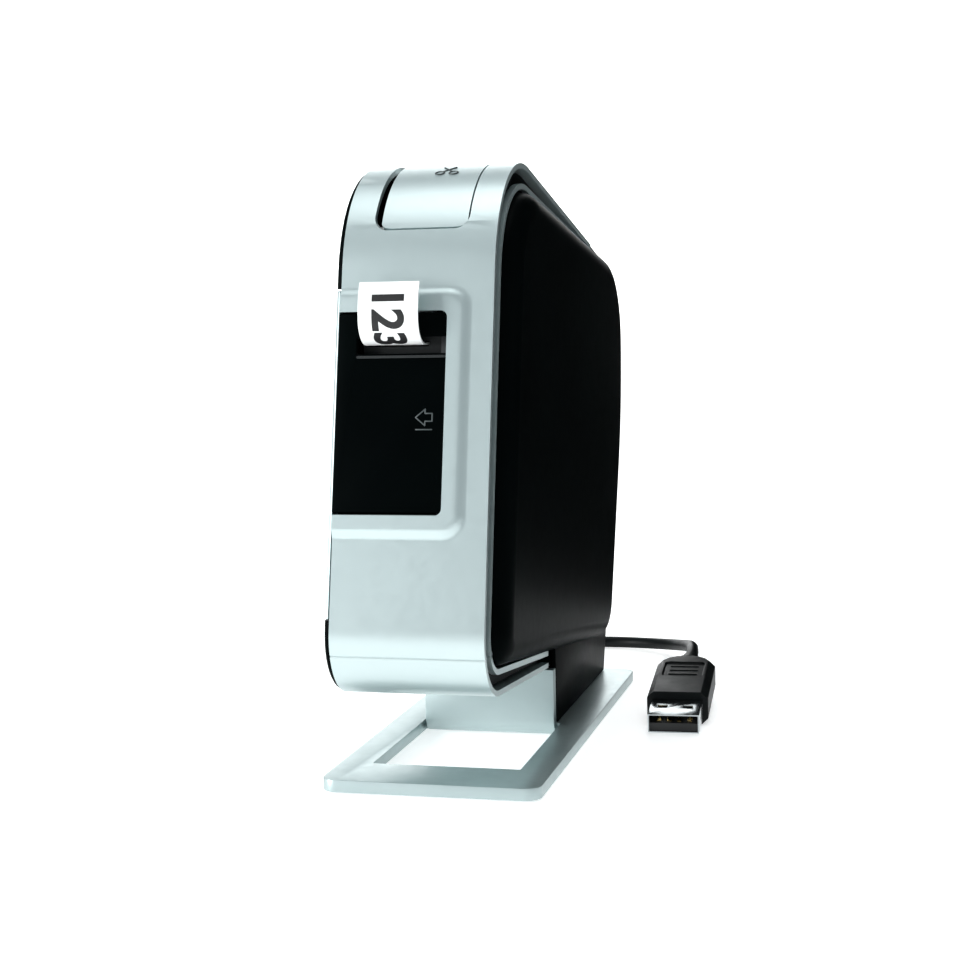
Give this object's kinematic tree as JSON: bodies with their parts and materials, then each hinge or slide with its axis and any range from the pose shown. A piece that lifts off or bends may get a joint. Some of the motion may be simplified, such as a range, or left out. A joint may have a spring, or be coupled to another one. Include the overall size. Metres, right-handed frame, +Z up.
{
  "type": "desktop label maker",
  "caption": "Slim upright label printer on a flat looped stand, with a side door, a top cutter button, a printed label in its slot and a coiled cable.",
  "frame": {"origin": "on the desk, under the middle of the printer with its stand, cable left out", "axes": "+X to the right seen from the front, -Y out of the front with the window, +Z up from the desk"},
  "size_m": [0.1019, 0.2103, 0.1312],
  "materials": {
    "silver_paint": "satin silver paint",
    "silver_plate": "satin silver paint",
    "gloss_black": "polished",
    "matte_black": "fine matte",
    "cord_black": "satin jacket",
    "tie_black": "matte",
    "smoked_lid": "polished",
    "frame_grey": "matte",
    "foot_rubber": "matte",
    "roller_rubber": "matte",
    "screw_steel": "zinc plated",
    "plated_steel": "bright nickel plating",
    "motor_steel": "drawn can",
    "pinion_brass": "machined",
    "contact_gold": "gold plating",
    "tongue_black": "matte",
    "gear_white": "moulded",
    "label_white": "satin film",
    "ribbon_black": "satin film",
    "light_ring": "translucent",
    "board_green": "solder mask",
    "cell_wrap": "shrink wrap",
    "head_ceramic": "ceramic",
    "sink_alloy": "bead blasted"
  },
  "bodies": {
    "housing": {"stand_plate": "silver_plate", "foot_pads": "foot_rubber", "stand_screws": "screw_steel", "neck_housing": "gloss_black", "neck_screws": "screw_steel", "front_band": "silver_paint", "rear_shell": "gloss_black", "right_cover": "gloss_black", "left_cover": "gloss_black", "chassis": "frame_grey", "cover_screws": "screw_steel", "cutter_pin": "screw_steel", "cutter_guide": "matte_black", "cutter_spring": "screw_steel", "label_strip": "label_white", "power_light_ring": "light_ring", "power_switch": "frame_grey", "main_board": "board_green", "usb_board": "board_green", "usb_socket": "plated_steel", "battery_pack": "cell_wrap", "battery_tray": "matte_black", "printhead": "head_ceramic", "heat_sink": "sink_alloy", "exit_guide": "matte_black", "drive_motor": "motor_steel", "idler_post": "screw_steel", "cassette_case": "matte_black", "cassette_lid": "smoked_lid", "device_plug": "matte_black", "device_plug_shell": "plated_steel", "cord_near": "cord_black", "cord_coil": "cord_black", "cord_far": "cord_black", "cord_tie": "tie_black", "usb_overmould": "matte_black", "usb_shell": "plated_steel", "usb_tongue": "tongue_black", "usb_contacts": "contact_gold"},
    "cassette_door": {"door_panel": "gloss_black", "door_rim": "silver_paint", "door_window": "gloss_black", "door_hinge_pins": "screw_steel", "door_latch": "frame_grey"},
    "cutter_lever": {"cutter_button": "silver_paint"},
    "blade": {"blade_carrier": "gear_white", "cutter_blade": "screw_steel"},
    "power_key": {"power_button": "gloss_black"},
    "platen": {"platen_roller": "roller_rubber", "platen_shaft": "screw_steel", "platen_gear": "gear_white"},
    "idler": {"idler_gear": "gear_white"},
    "pinion": {"motor_pinion": "pinion_brass"},
    "takeup": {"takeup_gear": "gear_white", "takeup_spindle": "frame_grey", "ribbon_takeup_spool": "ribbon_black"},
    "tape_feed": {"tape_roll": "label_white", "tape_hub": "frame_grey"},
    "ribbon_supply": {"ribbon_supply_spool": "ribbon_black"}
  },
  "joints": [
    {"name": "door_swing", "type": "hinge", "parent": "housing", "child": "cassette_door", "pos_m": [-0.0172, 0.054, 0.07], "axis": [0, 0, -1], "range_deg": [0, 90]},
    {"name": "cutter_press", "type": "hinge", "parent": "housing", "child": "cutter_lever", "pos_m": [-0.0011, -0.0534, 0.1166], "axis": [-1, 0, 0], "range_deg": [0, 5], "stiffness_Nm_per_rad": 1.6, "springref_deg": -1.15},
    {"name": "blade_drop", "type": "slide", "parent": "housing", "child": "blade", "axis": [0, 0, -1], "range_m": [0, 0.0028], "deforming": ["cutter_spring"]},
    {"name": "power_press", "type": "slide", "parent": "housing", "child": "power_key", "axis": [0, -0.197, -0.9804], "range_m": [0, 0.0006], "stiffness_N_per_m": 1500, "springref_m": -0.0002},
    {"name": "platen_turn", "type": "hinge", "parent": "housing", "child": "platen", "pos_m": [0, -0.049, 0.0975], "axis": [1, 0, 0], "continuous": true},
    {"name": "idler_turn", "type": "hinge", "parent": "housing", "child": "idler", "pos_m": [0, -0.049, 0.0855], "axis": [1, 0, 0], "continuous": true},
    {"name": "pinion_turn", "type": "hinge", "parent": "housing", "child": "pinion", "pos_m": [0, -0.049, 0.0717], "axis": [1, 0, 0], "continuous": true},
    {"name": "takeup_turn", "type": "hinge", "parent": "housing", "child": "takeup", "pos_m": [0, -0.0334, 0.0975], "axis": [1, 0, 0], "continuous": true},
    {"name": "tape_turn", "type": "hinge", "parent": "housing", "child": "tape_feed", "pos_m": [0, -0.007, 0.0841], "axis": [1, 0, 0], "continuous": true},
    {"name": "ribbon_turn", "type": "hinge", "parent": "housing", "child": "ribbon_supply", "pos_m": [0, -0.0308, 0.0733], "axis": [1, 0, 0], "continuous": true}
  ],
  "couplings": [
    {"joint": "blade_drop", "follows": "cutter_press", "m_per_rad": 0.032086},
    {"joint": "idler_turn", "follows": "platen_turn", "ratio": -1.5},
    {"joint": "pinion_turn", "follows": "platen_turn", "ratio": 5.4},
    {"joint": "takeup_turn", "follows": "platen_turn", "ratio": -0.85714},
    {"joint": "tape_turn", "follows": "platen_turn", "ratio": -0.23529},
    {"joint": "ribbon_turn", "follows": "platen_turn", "ratio": -0.57143}
  ]
}
